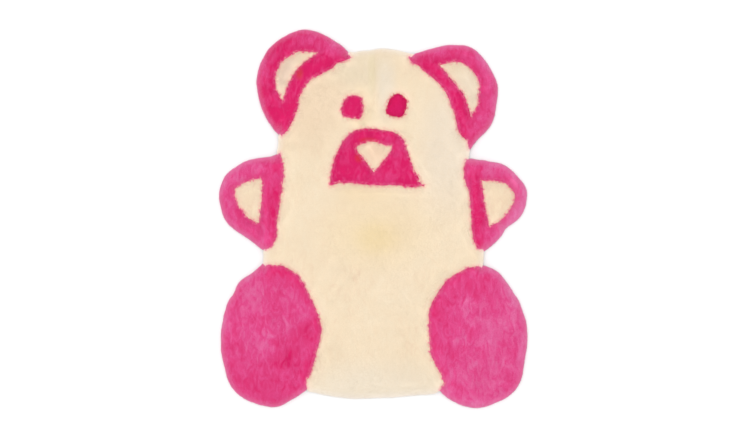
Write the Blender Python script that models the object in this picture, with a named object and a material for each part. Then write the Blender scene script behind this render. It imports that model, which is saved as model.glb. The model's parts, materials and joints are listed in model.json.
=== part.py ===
"""Bear shaped kids rug, pieced from short-shorn sheepskin and lying flat with its wool up.

Fifteen panels are cut and sewn edge to edge: a cream body, pink ears, arms and feet, cream
panels let into the ears and paws, and the pink eyes, pink muzzle and cream nose of the face.
Every panel is one closed solid, hide and wool together. Its wool is rounded off at the rug's
rim, dips a little along each seam and rises and falls in low lumps in between.

The outlines are drawn one over the other. Where two overlap, the panel that is drawn later is
let into the earlier one, so a seam is written down once, and both of its sides follow it.
"""

from collections import defaultdict, namedtuple
from math import pi, sin, sqrt
from random import Random

import bmesh
import bpy
from mathutils import Vector, noise
from mathutils.geometry import delaunay_2d_cdt

# --- Driving dimensions, in metres -------------------------------------------------------
RUG_LENGTH = 1.000          # from the top of the left ear to the lowest foot
THICKNESS = 0.030           # hide and wool together, in the middle of a panel
SEAM_GAP = 0.0003           # clear space between two panels that are sewn together

# --- The wool's surface, in thousandths of the rug's length, as everything below ---------
UNIT = RUG_LENGTH / 1000
CROWN = THICKNESS / UNIT    # height of the wool away from rims and seams
RIM_SHOULDER = 0.66         # height of the wool where it starts to round off, as a share
RIM_ROUND = 34              # width of the rounded band along the rim
SEAM_DIP = 2.6              # how far the wool sinks along a seam
SEAM_ROUND = 16             # width of that dip on either side
LUMP_HEIGHT = 1.9           # low lumps of the wool
LUMP_SIZE = 62              # and how wide they are

# --- Locks of wool along the rim ---------------------------------------------------------
LOCK_WIDTH = (15, 27)       # narrowest and widest lock
LOCK_DEPTH = 3.4            # how far a lock stands out between its two partings
LOCK_MEAN = 0.6             # share of that depth at which the drawn outline runs
RIM_FADE = 24               # beside a seam the rim's side turns upright over this length
LOCK_SEED = 11

# --- Spacing of the points ---------------------------------------------------------------
OUTER_STEP = 7              # along the outlines that reach the rim
INNER_STEP = 10             # along the outlines let into a panel
FIELD_STEP = 36             # between the points inside a panel
SHOULDER_STEP = 14          # from an outline to the row of points that follows it
CLEARANCE = 9.5             # what an inside point keeps to any outline
SPREAD = 11                 # and what two inside points keep to each other
SNAP = 0.6                  # points of two outlines that are closer than this are one
SHARPEST = 0.35             # a corner's step in or out is at most its gap over this

# The rim's side, bottom to top: height as a share of the wool's at that place, how far it
# is drawn in from the outline, and how much of a lock's depth shows at that height.
Ring = namedtuple("Ring", "height inset lock")
RINGS = [
    Ring(0.00, 6.0, 0.2),
    Ring(0.45, 0.0, 1.0),
    Ring(1.00, 4.0, 0.6),
]

CREAM = (0.93, 0.79, 0.58)
PINK = (0.76, 0.08, 0.24)
ROSE = (0.68, 0.04, 0.14)

# A knot is a point of an outline. The curve runs smoothly through it, turns sharply at a
# CORNER, and runs straight to and from one that lies UNDER a panel that is drawn later.
SMOOTH, CORNER, UNDER = "smooth", "corner", "under"
Knot = namedtuple("Knot", "x y turn", defaults=(SMOOTH,))
Panel = namedtuple("Panel", "name fur step knots")

# The wool's shape at every point of the rug: its height there, how far a rim point stands
# out of the drawn outline, and how free of seams that rim point is, 0 to 1.
Wool = namedtuple("Wool", "height reach freedom")

# x to the right and y towards the ears, each side as uneven as the real one.
PANELS = [
    Panel("body", CREAM, OUTER_STEP, [
        (-60, 439), (-15, 443), (4, 446), (35, 449), (92, 437),
        (125, 425, UNDER), (172, 388, UNDER), (212, 330, UNDER), (246, 226, UNDER),
        (253, 191, UNDER), (251, 176), (249, 162), (262, 135, UNDER), (284, -60, UNDER),
        (289, -86), (291, -100), (287, -121), (275, -150, UNDER), (205, -450, UNDER),
        (160, -458), (123, -462), (60, -467), (9, -470), (-54, -471), (-117, -464),
        (-165, -453), (-200, -447, UNDER), (-280, -150, UNDER),
        (-286, -118), (-287, -100), (-286, -84), (-283, -60, UNDER), (-262, 140, UNDER),
        (-250, 176), (-248, 194), (-247, 220), (-235, 262, UNDER), (-212, 330, UNDER),
        (-150, 402, UNDER), (-90, 425, UNDER)]),
    Panel("ear_left", PINK, OUTER_STEP, [
        (-58, 428, CORNER), (-83, 455), (-130, 485), (-154, 494), (-181, 500),
        (-205, 492), (-225, 485), (-264, 459), (-295, 411), (-305, 358), (-289, 288),
        (-263, 244), (-241, 219, CORNER), (-229, 231), (-217, 251), (-201, 286),
        (-193, 325), (-167, 365), (-117, 392), (-103, 400), (-95, 413), (-72, 418)]),
    Panel("ear_right", PINK, OUTER_STEP, [
        (93, 429, CORNER), (122, 437), (158, 449), (198, 457), (254, 454), (289, 425),
        (323, 366), (327, 335), (317, 270), (301, 241), (262, 199), (253, 181, CORNER),
        (247, 206), (226, 230), (215, 275), (191, 336), (156, 374), (132, 391),
        (119, 406), (103, 412)]),
    Panel("arm_left", PINK, OUTER_STEP, [
        (-246, 176, CORNER), (-265, 163), (-300, 158), (-334, 152), (-374, 127),
        (-392, 107), (-405, 66), (-392, 9), (-376, -16), (-316, -58), (-299, -74),
        (-284, -80), (-267, -70), (-254, -46), (-254, -12), (-246, 42), (-238, 100),
        (-236, 142)]),
    Panel("arm_right", PINK, OUTER_STEP, [
        (246, 158, CORNER), (303, 151), (340, 143), (361, 131), (399, 88), (405, 62),
        (390, 10), (347, -20, CORNER), (340, -40), (304, -73), (288, -81), (271, -70),
        (261, -35), (257, 34), (252, 73), (242, 104), (239, 130)]),
    Panel("foot_left", PINK, OUTER_STEP, [
        (-290, -121, CORNER), (-314, -143), (-338, -157), (-358, -176), (-365, -200),
        (-384, -227), (-400, -323), (-385, -412), (-365, -451), (-335, -475),
        (-271, -494), (-233, -485), (-174, -446, CORNER), (-177, -431), (-161, -393),
        (-142, -321), (-138, -280), (-156, -223), (-191, -157), (-216, -135),
        (-246, -122)]),
    Panel("foot_right", PINK, OUTER_STEP, [
        (291, -125, CORNER), (329, -142), (356, -178), (380, -214), (399, -262),
        (405, -317), (390, -417), (370, -455), (334, -478), (273, -497), (207, -476),
        (177, -451, CORNER), (186, -425), (157, -367), (149, -323), (149, -239),
        (176, -187), (201, -156), (253, -128)]),
    Panel("ear_panel_left", CREAM, INNER_STEP, [
        (-146, 438, CORNER), (-176, 442), (-205, 438), (-243, 411), (-256, 378),
        (-256, 347), (-239, 309, CORNER), (-224, 354), (-201, 394), (-166, 424)]),
    Panel("ear_panel_right", CREAM, INNER_STEP, [
        (175, 406, CORNER), (218, 415), (250, 404), (277, 369), (280, 336), (274, 298),
        (257, 270, CORNER), (242, 322), (212, 361)]),
    Panel("paw_panel_left", CREAM, INNER_STEP, [
        (-295, 109, CORNER), (-328, 101), (-367, 80, CORNER), (-355, 37), (-325, 1),
        (-301, -10, CORNER), (-298, 12), (-291, 86)]),
    Panel("paw_panel_right", CREAM, INNER_STEP, [
        (286, 102, CORNER), (332, 100), (356, 89), (375, 60), (360, 25), (328, -9),
        (305, -18, CORNER), (294, 41)]),
    Panel("eye_left", PINK, INNER_STEP, [
        (-66, 323), (-35, 323), (-25, 298), (-32, 267), (-55, 266), (-78, 273),
        (-83, 292)]),
    Panel("eye_right", ROSE, INNER_STEP, [
        (54, 328), (74, 328), (90, 308), (78, 272), (58, 270), (35, 280), (40, 306)]),
    Panel("muzzle", PINK, INNER_STEP, [
        (-113, 88, CORNER), (-112, 120), (-91, 184), (-59, 227), (-19, 239), (54, 229),
        (80, 209), (88, 188), (107, 134), (120, 110), (120, 100), (136, 88, CORNER),
        (103, 84), (82, 86), (60, 90), (2, 89), (-73, 96)]),
    Panel("nose", CREAM, INNER_STEP, [
        (-44, 194, CORNER), (-14, 203), (6, 204), (33, 196), (50, 194, CORNER), (50, 182),
        (31, 159), (2, 122, CORNER), (-22, 156), (-42, 179)]),
]


# --- Outlines ----------------------------------------------------------------------------
def smooth_point(before, start, end, after, t):
    """Point at t, 0 to 1, of the curve from start to end that heads for its neighbours."""
    return 0.5 * (2 * start + (end - before) * t
                  + (2 * before - 5 * start + 4 * end - after) * t ** 2
                  + (3 * (start - end) + after - before) * t ** 3)


def draw_outline(panel):
    """The panel's outline as a closed list of points, anticlockwise."""
    knots = [Knot(*row) for row in panel.knots]
    places = [Vector((knot.x, knot.y)) for knot in knots]
    points = []
    for index, knot in enumerate(knots):
        following = (index + 1) % len(knots)
        beyond = (index + 2) % len(knots)
        start, end = places[index], places[following]
        points.append(start)
        if UNDER in (knot.turn, knots[following].turn):
            continue
        before, after = start, end
        if knot.turn == SMOOTH and knots[index - 1].turn != UNDER:
            before = places[index - 1]
        if knots[following].turn == SMOOTH and knots[beyond].turn != UNDER:
            after = places[beyond]
        pieces = max(1, round((end - start).length / panel.step))
        points += [smooth_point(before, start, end, after, step / pieces)
                   for step in range(1, pieces)]
    turned = sum(a.cross(b) for a, b in zip(points, points[1:] + points[:1]))
    return points if turned > 0 else points[::-1]


def sides_of(outline):
    """The straight segments around a closed outline."""
    return list(zip(outline, outline[1:] + outline[:1]))


def nearest_on(point, segments):
    """Distance from a point to the nearest of some straight segments."""
    best = float("inf")
    for start, end in segments:
        along = end - start
        share = (point - start).dot(along) / max(along.length_squared, 1e-9)
        best = min(best, (point - start - along * min(1, max(0, share))).length)
    return best


def inside(point, outline):
    """Whether a point lies inside a closed outline."""
    hit = False
    for start, end in sides_of(outline):
        if (start.y > point.y) != (end.y > point.y):
            crossing = start.x + (point.y - start.y) * (end.x - start.x) / (end.y - start.y)
            hit ^= point.x < crossing
    return hit


def grid_points(outlines):
    """A staggered grid over the rug."""
    xs = [point.x for outline in outlines for point in outline]
    ys = [point.y for outline in outlines for point in outline]
    row_step = FIELD_STEP * sqrt(0.75)
    grid = []
    for row in range(int((max(ys) - min(ys)) / row_step)):
        shift = FIELD_STEP / 2 * (row % 2)
        for column in range(int((max(xs) - min(xs)) / FIELD_STEP)):
            x = min(xs) + shift + column * FIELD_STEP
            grid.append(Vector((x, min(ys) + row * row_step)))
    return grid


def shoulder_points(outline):
    """A row of points that follows an outline on its inside, for the wool to round off."""
    row = []
    for start, end in zip(outline[::2], outline[2::2] + outline[:1]):
        inward = Vector((start.y - end.y, end.x - start.x)).normalized()
        row.append((start + end) / 2 + inward * SHOULDER_STEP)
    return row


def inner_points(outlines):
    """The points between the outlines: shoulder rows first, and the grid where it fits."""
    candidates = []
    for panel, outline in zip(PANELS, outlines):
        if panel.step == OUTER_STEP:
            candidates += shoulder_points(outline)
    candidates += grid_points(outlines)
    sides = [side for outline in outlines for side in sides_of(outline)]
    kept = []
    for point in candidates:
        if not any(inside(point, outline) for outline in outlines):
            continue
        if nearest_on(point, sides) < CLEARANCE:
            continue
        if all((point - other).length > SPREAD for other in kept):
            kept.append(point)
    return kept


# --- One net of triangles for the whole rug ----------------------------------------------
def lay_out_panels():
    """Triangles over all outlines at once: the points, and each panel's triangles."""
    outlines = [draw_outline(panel) for panel in PANELS]
    points, faces = [], []
    for outline in outlines:
        faces.append(list(range(len(points), len(points) + len(outline))))
        points += outline
    points += inner_points(outlines)
    net = delaunay_2d_cdt(points, [], faces, 1, SNAP)
    triangles = defaultdict(list)
    for corners, covered_by in zip(net[2], net[5]):
        triangles[max(covered_by)].append(corners)
    return [Vector(point) for point in net[0]], triangles


def border(triangles):
    """The directed edges around a group of triangles, as a map from start to end."""
    edges = {(a, b) for a, b, c in triangles for a, b in ((a, b), (b, c), (c, a))}
    return {a: b for a, b in edges if (b, a) not in edges}


def walk(edges):
    """The points around a closed border, in order."""
    first = min(edges)
    loop = [first]
    while edges[loop[-1]] != first:
        loop.append(edges[loop[-1]])
    return loop


def outward(points, before, here, after):
    """Step out of a border at one point that moves both of its sides by 1."""
    sides = [(points[here] - points[before]).normalized(),
             (points[after] - points[here]).normalized()]
    normals = [Vector((side.y, -side.x)) for side in sides]
    bisector = (normals[0] + normals[1]).normalized()
    return bisector / max(SHARPEST, bisector.dot(normals[0]))


# --- Rim and surface ---------------------------------------------------------------------
def ease(share):
    """0 to 1, starting and ending softly."""
    share = min(1, max(0, share))
    return share * share * (3 - 2 * share)


def comb_locks(points, rim, seams):
    """How far each rim point stands out of the drawn outline, and how free of seams it is."""
    dice = Random(LOCK_SEED)
    reach, freedom = {}, {}
    travelled, lock_start, width = 0, 0, dice.uniform(*LOCK_WIDTH)
    for here, following in zip(rim, rim[1:] + rim[:1]):
        if travelled - lock_start > width:
            lock_start += width
            width = dice.uniform(*LOCK_WIDTH)
        swell = sin(pi * (travelled - lock_start) / width)
        freedom[here] = ease(nearest_on(points[here], seams) / RIM_FADE)
        reach[here] = LOCK_DEPTH * (swell - LOCK_MEAN) * freedom[here]
        travelled += (points[following] - points[here]).length
    return reach, freedom


def wool_height(point, rim_sides, seams):
    """Height of the wool over the floor at a point of the rug."""
    from_rim = min(1, nearest_on(point, rim_sides) / RIM_ROUND)
    rounded = RIM_SHOULDER + (1 - RIM_SHOULDER) * sqrt(1 - (1 - from_rim) ** 2)
    dip = SEAM_DIP * (1 - ease(nearest_on(point, seams) / SEAM_ROUND))
    lumps = noise.noise(Vector((point.x, point.y, 0)) / LUMP_SIZE) * LUMP_HEIGHT
    return CROWN * rounded - dip + lumps * from_rim


def shape_wool(points, triangles):
    """The wool's height all over the rug and its reach along the rim."""
    edges = {edge for group in triangles.values() for edge in border(group).items()}
    rim = {start: end for start, end in edges if (end, start) not in edges}
    rim_sides = [(points[start], points[end]) for start, end in rim.items()]
    seams = [(points[start], points[end]) for start, end in edges
             if (end, start) in edges and start < end]
    used = sorted({here for group in triangles.values() for corners in group for here in corners})
    height = {here: wool_height(points[here], rim_sides, seams) for here in used}
    return Wool(height, *comb_locks(points, walk(rim), seams))


# --- Solids ------------------------------------------------------------------------------
def fill_between(mesh, left, right):
    """Close the wall between two columns of points that both run from bottom to top."""
    low, high = 0, 0
    while low < len(left) - 1 or high < len(right) - 1:
        left_next = left[low + 1].co.z if low < len(left) - 1 else float("inf")
        right_next = right[high + 1].co.z if high < len(right) - 1 else float("inf")
        if left_next <= right_next:
            mesh.faces.new((left[low], right[high], left[low + 1]))
            low += 1
        else:
            mesh.faces.new((left[low], right[high], right[high + 1]))
            high += 1


def border_column(mesh, place, step, here, wool):
    """The points of a panel's border over one point of the net, bottom to top."""
    place = place - step * SEAM_GAP / UNIT / 2
    freedom = wool.freedom.get(here, 0)
    rings = RINGS if freedom > 0 else (RINGS[0], RINGS[-1])
    column = []
    for ring in rings:
        travel = wool.reach.get(here, 0) * ring.lock - ring.inset * freedom
        spot = place + step * travel
        column.append(mesh.verts.new((*spot, wool.height[here] * ring.height)))
    return column


def panel_mesh(name, points, triangles, wool):
    """One panel as a closed mesh: flat hide side, wool side and the walls between them."""
    mesh = bmesh.new()
    edges = border(triangles)
    before = {end: start for start, end in edges.items()}
    columns = {}
    for here in sorted({corner for corners in triangles for corner in corners}):
        if here in edges:
            step = outward(points, before[here], here, edges[here])
            columns[here] = border_column(mesh, points[here], step, here, wool)
        else:
            columns[here] = [mesh.verts.new((*points[here], height))
                             for height in (0, wool.height[here])]
    for a, b, c in triangles:
        mesh.faces.new((columns[a][-1], columns[b][-1], columns[c][-1]))
        mesh.faces.new((columns[c][0], columns[b][0], columns[a][0]))
    for start, end in edges.items():
        fill_between(mesh, columns[start], columns[end])
    bmesh.ops.scale(mesh, vec=(UNIT, UNIT, UNIT), verts=mesh.verts)
    data = bpy.data.meshes.new(name)
    mesh.to_mesh(data)
    mesh.free()
    return data


def wool_material(name, colour):
    """A matt woollen finish in one colour."""
    material = bpy.data.materials.new(name)
    material.use_nodes = True
    finish = material.node_tree.nodes["Principled BSDF"]
    finish.inputs["Base Color"].default_value = (*colour, 1)
    finish.inputs["Roughness"].default_value = 0.95
    finish.inputs["Metallic"].default_value = 0.0
    return material


def middle_of(places):
    """The middle of the box around some points, on the floor."""
    xs = [place.x for place in places]
    ys = [place.y for place in places]
    return Vector(((min(xs) + max(xs)) / 2, (min(ys) + max(ys)) / 2, 0))


def place_panel(panel, data, rug):
    """The panel as an object of its own, with its origin in its middle."""
    middle = middle_of([vertex.co for vertex in data.vertices])
    for vertex in data.vertices:
        vertex.co -= middle
    data.materials.append(wool_material(panel.name + "_wool", panel.fur))
    data.shade_smooth()
    placed = bpy.data.objects.new(panel.name, data)
    placed.location = middle
    placed.parent = rug
    bpy.context.collection.objects.link(placed)
    return placed


def build_rug():
    """Model all panels, and move the rug so that its underside's middle is the origin."""
    for old in list(bpy.data.objects):
        bpy.data.objects.remove(old)
    rug = bpy.data.objects.new("rug", None)
    bpy.context.collection.objects.link(rug)

    points, triangles = lay_out_panels()
    wool = shape_wool(points, triangles)
    placed = []
    for index, panel in enumerate(PANELS):
        data = panel_mesh(panel.name, points, triangles[index], wool)
        placed.append(place_panel(panel, data, rug))
    rug.location = -middle_of([panel.location + vertex.co
                               for panel in placed for vertex in panel.data.vertices])


build_rug()
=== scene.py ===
# %% [markdown]
# # A bear shaped kids rug of short-shorn sheepskin
#
# The rug is pieced like a fur coat. The head and body are one cream sheepskin. Pink skins make
# the ears, arms and feet, and smaller panels are let into the ears, the paws and the face. It
# lies flat on the floor with its wool up, and it is looked at from straight above.
#
# The CAD model gives every panel as one plain solid. This script gives each of them what a
# sheepskin is made of: a thin hide below, dense underwool on it, and thousands of separate
# locks of wool on top. Then it sews the panels together from below.

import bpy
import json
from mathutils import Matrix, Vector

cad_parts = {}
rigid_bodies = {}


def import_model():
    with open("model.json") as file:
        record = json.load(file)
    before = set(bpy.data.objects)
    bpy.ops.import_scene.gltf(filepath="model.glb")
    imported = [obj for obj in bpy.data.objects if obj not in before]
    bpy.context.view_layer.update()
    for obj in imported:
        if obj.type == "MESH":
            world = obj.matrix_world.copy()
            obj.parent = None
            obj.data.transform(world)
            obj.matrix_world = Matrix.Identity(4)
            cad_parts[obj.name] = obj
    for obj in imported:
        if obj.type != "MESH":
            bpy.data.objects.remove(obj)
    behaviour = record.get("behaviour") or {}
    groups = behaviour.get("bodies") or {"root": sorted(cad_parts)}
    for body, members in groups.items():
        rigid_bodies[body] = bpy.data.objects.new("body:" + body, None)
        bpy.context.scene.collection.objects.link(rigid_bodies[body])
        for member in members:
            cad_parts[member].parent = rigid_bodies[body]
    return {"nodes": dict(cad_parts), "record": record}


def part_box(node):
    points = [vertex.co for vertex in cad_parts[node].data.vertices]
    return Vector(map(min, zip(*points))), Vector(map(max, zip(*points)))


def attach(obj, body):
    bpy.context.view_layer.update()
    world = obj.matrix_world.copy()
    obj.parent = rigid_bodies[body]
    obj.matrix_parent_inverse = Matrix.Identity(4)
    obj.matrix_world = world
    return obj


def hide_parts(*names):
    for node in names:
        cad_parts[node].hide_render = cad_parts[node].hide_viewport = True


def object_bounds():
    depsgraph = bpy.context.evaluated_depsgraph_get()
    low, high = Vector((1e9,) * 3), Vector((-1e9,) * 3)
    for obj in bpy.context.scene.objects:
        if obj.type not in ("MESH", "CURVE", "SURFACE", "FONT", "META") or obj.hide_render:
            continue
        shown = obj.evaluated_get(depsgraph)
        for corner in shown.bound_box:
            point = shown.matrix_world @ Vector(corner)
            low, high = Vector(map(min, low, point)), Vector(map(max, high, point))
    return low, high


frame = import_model()
CAD_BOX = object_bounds()
PANELS = frame["nodes"]
RUG = "root"                  # the one body that everything rides on
MM = 0.001                    # one millimetre, because Blender counts in metres
print(len(PANELS), "panels, between", *[tuple(round(c, 3) for c in p) for p in CAD_BOX])

# %% [markdown]
# ## Where the rug is looked at from
#
# The camera hangs above the rug and looks straight down, with the ears at the top. A long lens
# far away and a short lens close by can frame the same thing. The long one is used, because it
# hardly shows the rug's sides, as in a shop's picture of a rug.

# %% Hang the camera
import bpy

PICTURE = (750, 440)          # the picture's width and height in pixels
RUG_IN_PICTURE = (373.10, 218.65)   # the pixel that the middle of the rug is at
PIXELS_PER_METRE = 380
CAMERA_HEIGHT = 3.6
SENSOR = 36.0                 # millimetres, across the picture
WOOL_TOP = CAD_BOX[1].z


def hang_camera():
    """A camera that looks straight down and shows the rug at the wanted scale and place."""
    camera = bpy.data.objects.new("camera", bpy.data.cameras.new("camera"))
    bpy.context.scene.collection.objects.link(camera)
    seen = PICTURE[0] / PIXELS_PER_METRE
    camera.data.sensor_width = SENSOR
    camera.data.lens = SENSOR * (CAMERA_HEIGHT - WOOL_TOP) / seen
    across = (PICTURE[0] / 2 - RUG_IN_PICTURE[0]) / PIXELS_PER_METRE
    along = (RUG_IN_PICTURE[1] - PICTURE[1] / 2) / PIXELS_PER_METRE
    camera.location = (across, along, CAMERA_HEIGHT)
    bpy.context.scene.camera = camera
    return camera


print("a lens of", round(hang_camera().data.lens, 1), "mm,", CAMERA_HEIGHT, "m above the floor")

# %% [markdown]
# ## Writing nodes as sums
#
# Materials and Geometry Nodes are both trees of small boxes with links. They could be built one
# box and one link at a time, which takes many lines and hides what is meant. Here a `Wire` is a
# socket that a value comes out of, and a sum on it, such as `1 - shade * 0.5`, adds the boxes
# that work it out. A `Board` is a tree that boxes are added to.

# %% Two small classes for node trees
SPOT_CORE = 0.2               # an oval spot is at full strength in this share of its reach


class Wire:
    """A socket that a value comes out of."""

    def __init__(self, socket):
        self.socket = socket

    def other(self, name):
        """Another output of the same node."""
        return Wire(named(self.socket.node.outputs, name))

    def part(self, letter):
        """One of a vector's three numbers."""
        board = Board(self.socket.id_data)
        return board.add("ShaderNodeSeparateXYZ", None, {"Vector": self}, letter)

    def sum(self, operation, *parts):
        """A new node that works out one sum, for numbers or for vectors."""
        vector = any(isinstance(p, Wire) and p.socket.type == "VECTOR" for p in parts)
        kind = "ShaderNodeVectorMath" if vector else "ShaderNodeMath"
        board = Board(self.socket.id_data)
        return board.add(kind, {"operation": operation}, dict(enumerate(parts)))

    def __add__(self, more):
        return self.sum("ADD", self, more)

    def __radd__(self, more):
        return self.sum("ADD", more, self)

    def __sub__(self, less):
        return self.sum("SUBTRACT", self, less)

    def __rsub__(self, whole):
        return self.sum("SUBTRACT", whole, self)

    def __mul__(self, times):
        return self.sum("MULTIPLY", self, times)

    def __rmul__(self, times):
        return self.sum("MULTIPLY", times, self)

    def __truediv__(self, parts):
        return self.sum("DIVIDE", self, parts)

    def __mod__(self, turn):
        return self.sum("FLOORED_MODULO", self, turn)


class Board:
    """A node tree that nodes are added to."""

    def __init__(self, tree):
        self.tree = tree

    def add(self, kind, settings=None, sockets=None, out=0):
        """One node: its settings first, then the values or links of its sockets."""
        node = self.tree.nodes.new(kind)
        for name, value in (settings or {}).items():
            setattr(node, name, value)
        for name, value in (sockets or {}).items():
            self.feed(named(node.inputs, name), value)
        return Wire(named(node.outputs, out)) if len(node.outputs) else node

    def feed(self, socket, value):
        """Link a wire to a socket, or set the socket's own value."""
        if isinstance(value, Wire):
            self.tree.links.new(value.socket, socket)
        elif socket.type == "VECTOR" and isinstance(value, (int, float)):
            socket.default_value = (value,) * 3
        elif socket.type == "RGBA":
            socket.default_value = (*value[:3], 1.0)
        else:
            socket.default_value = value

    def blend(self, share, first, second):
        """A colour that goes from first to second as share goes from 0 to 1."""
        sockets = {"Factor": share, "A": first, "B": second}
        return self.add("ShaderNodeMix", {"data_type": "RGBA"}, sockets, "Result")

    def ease(self, value, start, end):
        """0 up to start, 1 from end on, and smooth in between."""
        sockets = {"Value": value, "From Min": start, "From Max": end}
        settings = {"interpolation_type": "SMOOTHSTEP"}
        return self.add("ShaderNodeMapRange", settings, sockets, "Result")

    def climb(self, value, start, end):
        """0 up to start, 1 from end on, and straight in between."""
        sockets = {"Value": value, "From Min": start, "From Max": end}
        return self.add("ShaderNodeMapRange", None, sockets, "Result")

    def cloud(self, place, size, detail=2.0, swirl=0.0):
        """Soft random patches, about size metres wide, around 0.5."""
        sockets = {"Vector": place, "Scale": 1 / size, "Detail": detail, "Distortion": swirl}
        return self.add("ShaderNodeTexNoise", None, sockets, 0)

    def spot(self, place, centre, reach):
        """1 in the middle of an oval seen from above, and fading to 0 at its edge."""
        off = (place - (*centre, 0.0)) * (1 / reach[0], 1 / reach[1], 0.0)
        return self.ease(off.sum("LENGTH", off).other("Value"), 1.0, SPOT_CORE)

    def surface(self, name, out=0):
        """A value that was stored on the piece's mesh."""
        return self.add("ShaderNodeAttribute", {"attribute_name": name}, None, out)


def named(sockets, key):
    """A node's socket, by its place in the list or by its name."""
    if isinstance(key, int):
        return sockets[key]
    return next(s for s in sockets if s.enabled and key in (s.name, s.identifier))


def new_material(name):
    """A material with nothing in its tree yet, and the board to add nodes to."""
    material = bpy.data.materials.new(name)
    material.use_nodes = True
    material.node_tree.nodes.clear()
    return material, Board(material.node_tree)


def finish(board, sockets):
    """End a material: its surface takes these colours, numbers and wires."""
    surface = board.add("ShaderNodeBsdfPrincipled", None, sockets)
    board.add("ShaderNodeOutputMaterial", None, {"Surface": surface})


print("nodes can be written as sums")

# %% [markdown]
# ## Floor and light
#
# The rug is shown on a plain white floor with hardly a shadow. A studio gets that with white
# light from all round and one big soft lamp above. The lamp hangs nearly over the middle, so
# that all sides of the rim are about as bright. Colours are shown as they are, with the
# Standard view, because the usual film-like view would turn the hot pink dull.

# %% Lay the floor and set up the light
import bmesh

FLOOR_REACH = 14.0            # metres, far past the edge of any view
FLOOR_SIDES = 64
FLOOR_DROP = 0.4 * MM         # the floor is a hair below the rug
FLOOR_COLOUR = (0.93, 0.93, 0.93)
SKY_LIGHT = 0.82
WHITE = (1.0, 1.0, 1.0)
LAMP_PLACE = (-0.25, 0.15, 5.6)
LAMP_SIZE = 3.0
LAMP_POWER = 144.0


def lay_floor():
    """A plain pale floor, which is part of the stage and not of the rug."""
    material, board = new_material("studio_floor")
    finish(board, {"Base Color": FLOOR_COLOUR, "Roughness": 0.9, "Specular IOR Level": 0.1})
    flat = bmesh.new()
    bmesh.ops.create_circle(flat, cap_ends=True, segments=FLOOR_SIDES, radius=FLOOR_REACH)
    bmesh.ops.translate(flat, verts=flat.verts, vec=(0, 0, -FLOOR_DROP))
    mesh = bpy.data.meshes.new("studio_floor")
    flat.to_mesh(mesh)
    flat.free()
    mesh.materials.append(material)
    floor = bpy.data.objects.new("studio_floor", mesh)
    bpy.context.scene.collection.objects.link(floor)


def light_studio():
    """White light from all round, and one big soft lamp."""
    world = bpy.data.worlds.new("studio")
    bpy.context.scene.world = world
    world.use_nodes = True
    world.node_tree.nodes.clear()
    board = Board(world.node_tree)
    sky = board.add("ShaderNodeBackground", None, {"Color": WHITE, "Strength": SKY_LIGHT})
    board.add("ShaderNodeOutputWorld", None, {"Surface": sky})
    lamp = bpy.data.objects.new("lamp", bpy.data.lights.new("lamp", "AREA"))
    lamp.data.size = LAMP_SIZE
    lamp.data.energy = LAMP_POWER
    lamp.location = LAMP_PLACE
    lamp.rotation_mode = "QUATERNION"
    lamp.rotation_quaternion = lamp.location.to_track_quat("Z", "Y")
    bpy.context.scene.collection.objects.link(lamp)
    bpy.context.scene.view_settings.view_transform = "Standard"


lay_floor()
light_studio()
print("a white floor, light from all round and a lamp of", LAMP_POWER, "W")

# %% [markdown]
# ## The colours of the wools
#
# The rug has three wools: undyed cream, hot pink, and a deeper pink for one eye. Each could be
# one flat colour, but then it would look like felt or plastic. So each is a small set of
# colours. `pale`, `middle` and `deep` are its fleece from where it is palest to where it is
# deepest. `root` shows between the locks, darker as painted shade of the depth there. `edge` is
# painted light on the side of the rim. `seam` is painted shade beside a seam on the pinks, and on
# the cream a painted pink reflection from the pink wool. `line` is the seam itself. `bloom` tints
# the sheen.
#
# Undyed fleece also has spots, from white to the yellow of wool grease, and the pink has a few
# small orange-red flushes where dye gathered. Along the head's backbone line two spots are
# painted shade in the parting and painted light beside it. They are soft ovals: where each is,
# how far it reaches to its sides and along the rug, and its colour.

# %% Choose the colours
from collections import namedtuple

Wool = namedtuple("Wool", "pale middle deep root seam line edge bloom")
Spot = namedtuple("Spot", "centre reach colour")
# root is darker as painted shade between the locks; seam is painted shade on the pinks and a
# painted pink reflection on the cream; edge is painted light on the rim's side
CREAM = Wool(pale=(1.0, 0.86, 0.66), middle=(0.99, 0.83, 0.62), deep=(0.92, 0.71, 0.52),
             root=(0.88, 0.73, 0.53), seam=(1.0, 0.76, 0.60), line=(1.0, 0.46, 0.42),
             edge=(1.0, 0.905, 0.82), bloom=(1.0, 0.95, 0.86))
PINK = Wool(pale=(0.89, 0.26, 0.53), middle=(0.86, 0.10, 0.33), deep=(0.79, 0.014, 0.150),
            root=(0.70, 0.035, 0.16), seam=(0.74, 0.013, 0.145), line=(0.86, 0.150, 0.32),
            edge=(0.82, 0.24, 0.43), bloom=(1.0, 0.62, 0.78))
DEEP_PINK = Wool(pale=(0.86, 0.05, 0.28), middle=(0.80, 0.018, 0.19), deep=(0.74, 0.010, 0.13),
                 root=(0.60, 0.006, 0.07), seam=(0.76, 0.010, 0.13), line=(0.66, 0.020, 0.12),
                 edge=(0.60, 0.04, 0.16), bloom=(1.0, 0.60, 0.76))
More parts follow.
